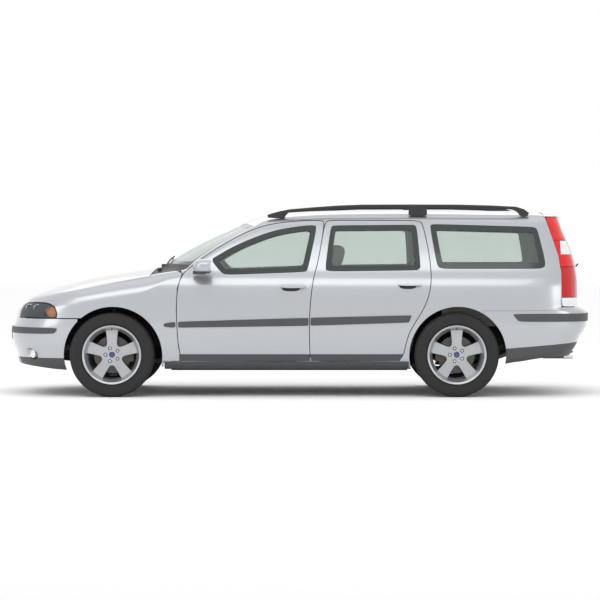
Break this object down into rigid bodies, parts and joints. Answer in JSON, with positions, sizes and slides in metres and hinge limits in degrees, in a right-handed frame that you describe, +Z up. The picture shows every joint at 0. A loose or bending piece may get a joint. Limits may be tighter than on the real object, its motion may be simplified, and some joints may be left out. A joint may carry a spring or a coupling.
{
  "type": "station wagon",
  "caption": "Silver station wagon with opening doors, bonnet and tailgate, steered front wheels and wheels that roll.",
  "frame": {"origin": "on the ground, on the centre line, midway between the ends of the bumpers", "axes": "+X forward, +Y to the car's left, +Z up"},
  "size_m": [4.7068, 2.1284, 1.544],
  "materials": {
    "silver_paint": "metallic silver under clear coat",
    "dark_plastic": "fine grained",
    "glass": "pale green tint",
    "tyre": "matte black",
    "alloy": "bright painted cast alloy",
    "cast_steel": "as cast",
    "lamp_clear": "clear moulded lens",
    "lamp_red": "glossy moulded lens",
    "primed_steel": "underbody coating",
    "exhaust_steel": "dull steel",
    "seat_fabric": "woven cloth"
  },
  "bodies": {
    "body": {"floor_pan": "primed_steel", "body_side_left": "silver_paint", "body_side_right": "silver_paint", "roof_panel": "silver_paint", "wing_left": "silver_paint", "wing_right": "silver_paint", "front_bumper": "silver_paint", "grille": "dark_plastic", "fog_lamps": "lamp_clear", "headlight_left": "lamp_clear", "headlight_right": "lamp_clear", "cowl": "dark_plastic", "windscreen": "glass", "glass_quarter_left": "glass", "glass_quarter_right": "glass", "tail_lamp_left": "lamp_red", "tail_lamp_right": "lamp_red", "rear_bumper": "silver_paint", "roof_rail_left": "dark_plastic", "roof_rail_right": "dark_plastic", "engine": "cast_steel", "front_subframe": "primed_steel", "rear_suspension": "cast_steel", "exhaust": "exhaust_steel", "dashboard": "dark_plastic", "front_seat_left": "seat_fabric", "front_seat_right": "seat_fabric", "rear_seat": "seat_fabric", "tow_eye_socket": "cast_steel"},
    "door_front_left": {"door_front_left": "silver_paint", "glass_front_left": "glass", "mirror_left": "silver_paint"},
    "door_front_right": {"door_front_right": "silver_paint", "glass_front_right": "glass", "mirror_right": "silver_paint"},
    "door_rear_left": {"door_rear_left": "silver_paint", "glass_rear_left": "glass"},
    "door_rear_right": {"door_rear_right": "silver_paint", "glass_rear_right": "glass"},
    "tailgate": {"tailgate": "silver_paint", "glass_tailgate": "glass"},
    "bonnet": {"bonnet": "silver_paint"},
    "steering_wheel": {"steering_wheel": "dark_plastic"},
    "steered_hub_left": {"knuckle_left": "cast_steel"},
    "steered_hub_right": {"knuckle_right": "cast_steel"},
    "wheel_fl": {"tyre_fl": "tyre", "rim_fl": "alloy", "disc_fl": "cast_steel"},
    "wheel_fr": {"tyre_fr": "tyre", "rim_fr": "alloy", "disc_fr": "cast_steel"},
    "wheel_rl": {"tyre_rl": "tyre", "rim_rl": "alloy", "disc_rl": "cast_steel"},
    "wheel_rr": {"tyre_rr": "tyre", "rim_rr": "alloy", "disc_rr": "cast_steel"}
  },
  "joints": [
    {"name": "door_front_left_hinge", "type": "hinge", "parent": "body", "child": "door_front_left", "pos_m": [0.968, 0.893, 0.6], "axis": [0, 0, 1], "range_deg": [-68, 0]},
    {"name": "door_rear_left_hinge", "type": "hinge", "parent": "body", "child": "door_rear_left", "pos_m": [-0.092, 0.893, 0.6], "axis": [0, 0, 1], "range_deg": [-68, 0]},
    {"name": "door_front_right_hinge", "type": "hinge", "parent": "body", "child": "door_front_right", "pos_m": [0.968, -0.893, 0.6], "axis": [0, 0, 1], "range_deg": [0, 68]},
    {"name": "door_rear_right_hinge", "type": "hinge", "parent": "body", "child": "door_rear_right", "pos_m": [-0.092, -0.893, 0.6], "axis": [0, 0, 1], "range_deg": [0, 68]},
    {"name": "bonnet_hinge", "type": "hinge", "parent": "body", "child": "bonnet", "pos_m": [1.15, 0, 1.03], "axis": [0, 1, 0], "range_deg": [-50, 0]},
    {"name": "tailgate_hinge", "type": "hinge", "parent": "body", "child": "tailgate", "pos_m": [-1.989, 0, 1.49], "axis": [0, 1, 0], "range_deg": [0, 80]},
    {"name": "steer_left", "type": "hinge", "parent": "body", "child": "steered_hub_left", "pos_m": [1.488, 0.735, 0.225], "axis": [0, -0.2596, 0.9657], "range_deg": [-35, 35]},
    {"name": "steer_right", "type": "hinge", "parent": "body", "child": "steered_hub_right", "pos_m": [1.488, -0.735, 0.225], "axis": [0, 0.2596, 0.9657], "range_deg": [-35, 35]},
    {"name": "spin_fl", "type": "hinge", "parent": "steered_hub_left", "child": "wheel_fl", "pos_m": [1.488, 0.781, 0.338], "axis": [0, 1, 0], "continuous": true},
    {"name": "spin_fr", "type": "hinge", "parent": "steered_hub_right", "child": "wheel_fr", "pos_m": [1.488, -0.781, 0.338], "axis": [0, 1, 0], "continuous": true},
    {"name": "spin_rl", "type": "hinge", "parent": "body", "child": "wheel_rl", "pos_m": [-1.267, 0.781, 0.338], "axis": [0, 1, 0], "continuous": true},
    {"name": "spin_rr", "type": "hinge", "parent": "body", "child": "wheel_rr", "pos_m": [-1.267, -0.781, 0.338], "axis": [0, 1, 0], "continuous": true},
    {"name": "steering_wheel_turn", "type": "hinge", "parent": "body", "child": "steering_wheel", "pos_m": [0.56, 0.37, 0.865], "axis": [-0.9063, 0, 0.4226], "range_deg": [-540, 540]}
  ],
  "couplings": [
    {"joint": "steer_right", "follows": "steer_left", "ratio": 1},
    {"joint": "steering_wheel_turn", "follows": "steer_left", "ratio": 15}
  ]
}
